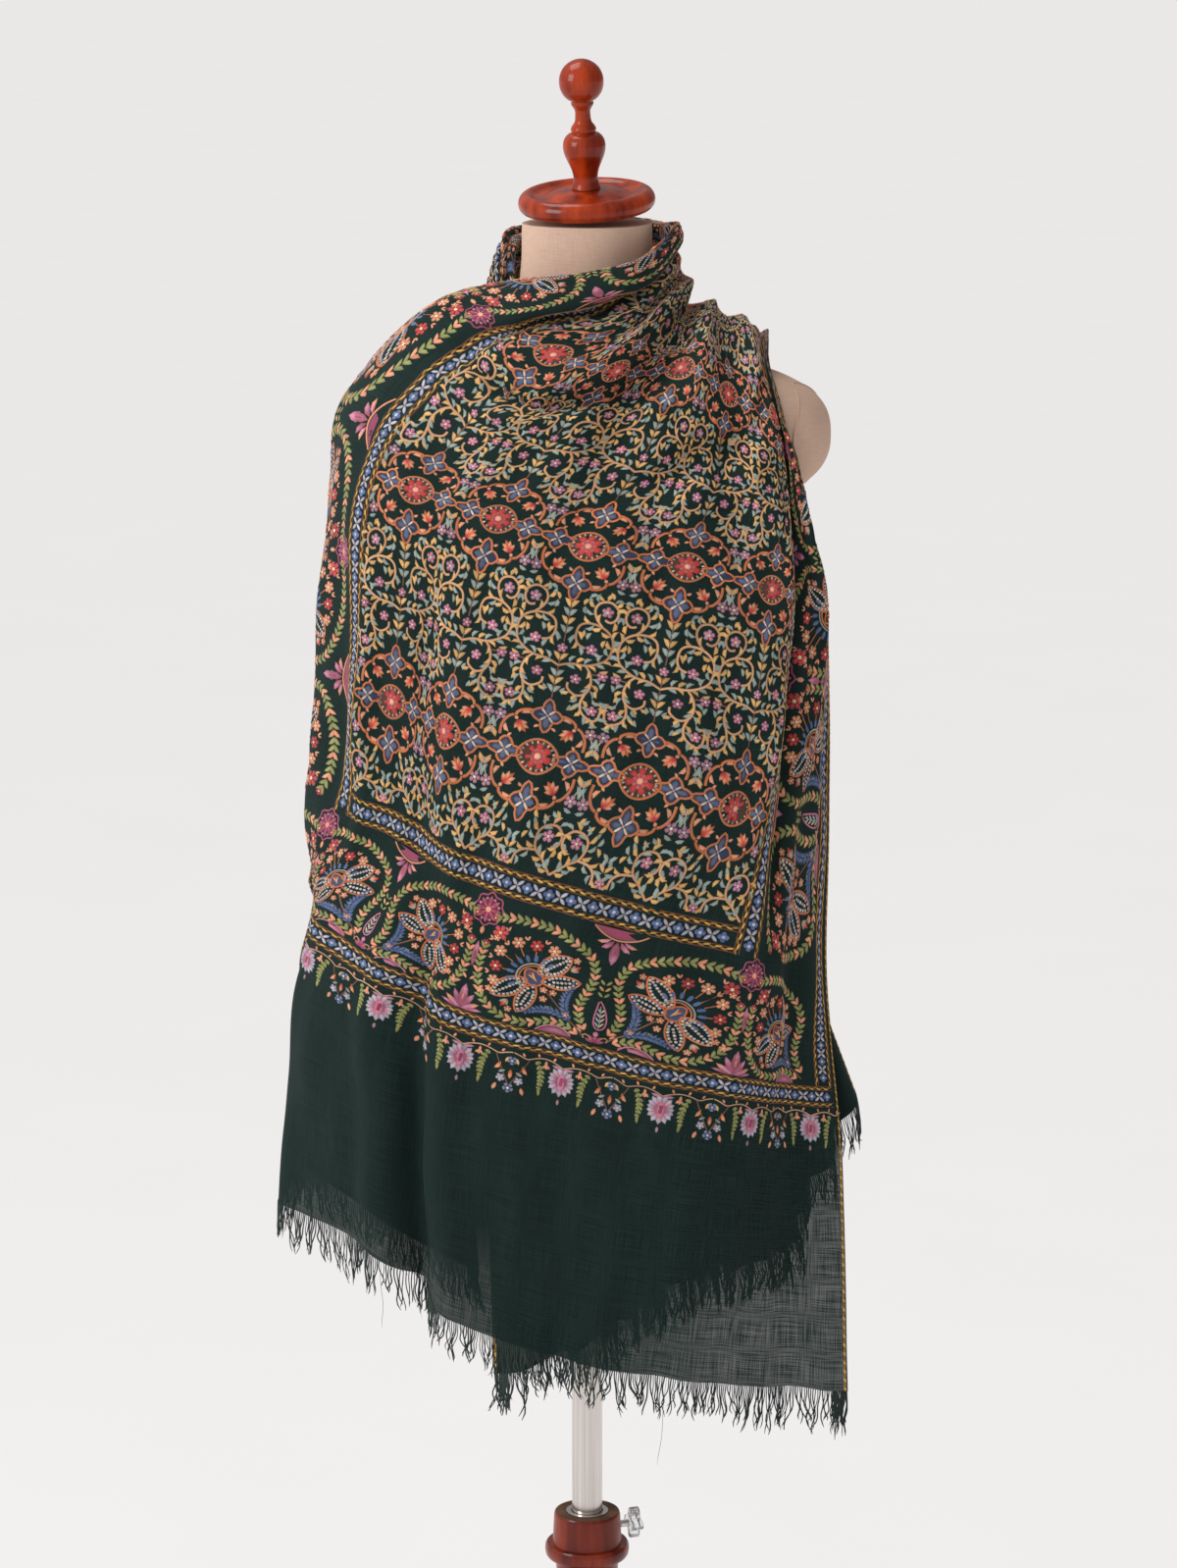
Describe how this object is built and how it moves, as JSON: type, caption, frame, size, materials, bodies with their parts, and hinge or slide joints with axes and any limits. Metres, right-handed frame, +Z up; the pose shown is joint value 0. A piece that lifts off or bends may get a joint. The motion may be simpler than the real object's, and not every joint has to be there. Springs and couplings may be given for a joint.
{
  "type": "pashmina shawl on a dress form stand",
  "caption": "Long embroidered pashmina shawl hung round the neck of a limbless dress form on a turned wooden stand, both ends falling in front.",
  "frame": {"origin": "middle of the stand base's underside, on the pole's axis, at floor level", "axes": "+Z up along the pole; -Y is the way the dress form faces; +X is the wearer's left"},
  "size_m": [0.4624, 0.3256, 1.5955],
  "materials": {
    "wool": "fine soft wool twill, embroidered",
    "fringe": "loose wool threads",
    "linen": "fine plain weave",
    "lacquered_wood": "gloss cherry lacquer",
    "steel": "bright drawn tube",
    "clear_plastic": "clear moulded"
  },
  "bodies": {
    "root": {"shawl_front": "wool", "shawl_behind_neck": "wool", "shawl_under_end": "wool", "fringe_front": "fringe", "fringe_under": "fringe", "dress_form": "linen", "neck_cap": "lacquered_wood", "finial": "lacquered_wood", "stand_column": "lacquered_wood", "stand_base": "lacquered_wood", "pole": "steel", "collar_bushing": "steel", "clamp_knob": "clear_plastic", "clamp_screw": "steel"}
  },
  "joints": []
}
